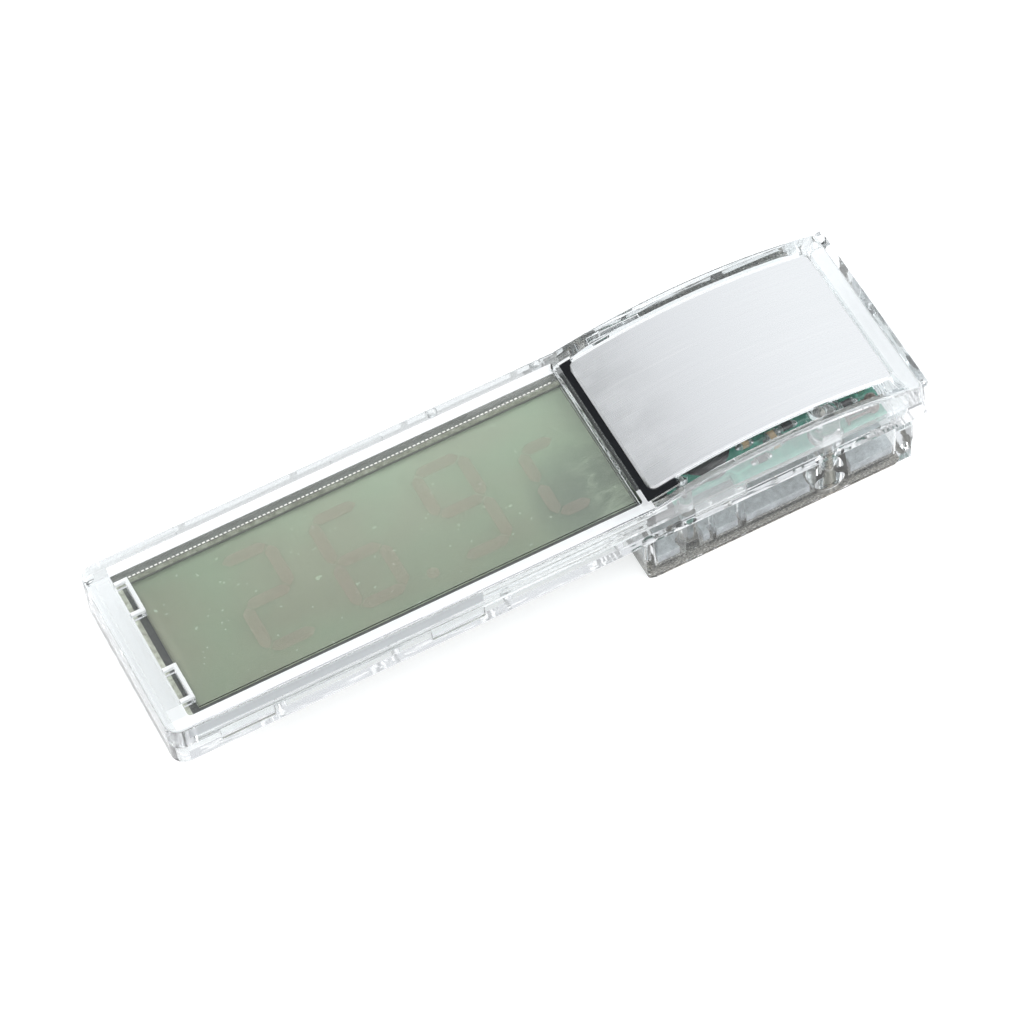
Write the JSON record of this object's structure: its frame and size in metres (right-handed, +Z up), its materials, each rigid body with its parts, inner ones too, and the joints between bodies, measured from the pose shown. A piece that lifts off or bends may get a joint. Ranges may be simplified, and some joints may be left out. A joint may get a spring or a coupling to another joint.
{
  "type": "stick-on digital thermometer",
  "caption": "Long clear case with a liquid-crystal temperature display, an arched brushed metal plate and a clear base block that sticks to a surface; a drawer holds the button cell.",
  "frame": {"origin": "adhesive pad's lower face under the middle of the base, where the object sticks to a surface", "axes": "+Z up out of the surface, +X along the case from the display towards the metal plate, +Y across the case, away from the side the digits' feet point to"},
  "size_m": [0.088, 0.0232, 0.0151],
  "materials": {
    "clear_plastic": "clear polished plastic",
    "dark_steel": "dull grey plated sheet",
    "grey_foam": "dark grey adhesive foam",
    "cell_steel": "satin nickel-plated can",
    "nickel": "bright nickel plate",
    "brushed_aluminium": "brushed along the length, satin",
    "white_tape": "thin white double-sided tape",
    "display_glass": "clear thin glass",
    "black_seal": "black border",
    "polariser_film": "glossy grey-green film",
    "reflector_film": "grey-green reflector",
    "liquid_crystal": "faint unlit segments",
    "black_plastic": "black moulded plastic",
    "striped_rubber": "grey and black layered rubber",
    "board_green": "green solder mask",
    "black_resin": "glossy black resin",
    "resistor_black": "black chips with tinned ends",
    "capacitor_tan": "tan ceramic with tinned ends",
    "sensor_bead": "dark epoxy bead",
    "screw_steel": "zinc-plated steel"
  },
  "bodies": {
    "case": {"top_cover": "clear_plastic", "lower_tray": "clear_plastic", "base_box": "clear_plastic", "weight_plate": "dark_steel", "adhesive_pad": "grey_foam", "negative_contact": "nickel", "positive_contact": "nickel", "face_plate": "brushed_aluminium", "plate_tape": "white_tape", "display_front_glass": "display_glass", "display_rear_glass": "display_glass", "display_border": "black_seal", "display_seal": "black_seal", "front_polariser": "polariser_film", "rear_polariser": "reflector_film", "display_segments": "liquid_crystal", "connector_holder": "black_plastic", "zebra_strip": "striped_rubber", "light_mask": "black_plastic", "circuit_board": "board_green", "chip_cover": "black_resin", "crystal_can": "nickel", "chip_resistors": "resistor_black", "chip_capacitors": "capacitor_tan", "temperature_sensor": "sensor_bead", "base_screws": "screw_steel"},
    "drawer": {"battery_drawer": "clear_plastic", "button_cell": "cell_steel"}
  },
  "joints": [
    {"name": "drawer_slide", "type": "slide", "parent": "case", "child": "drawer", "axis": [1, 0, 0], "range_m": [0, 0.016]}
  ]
}
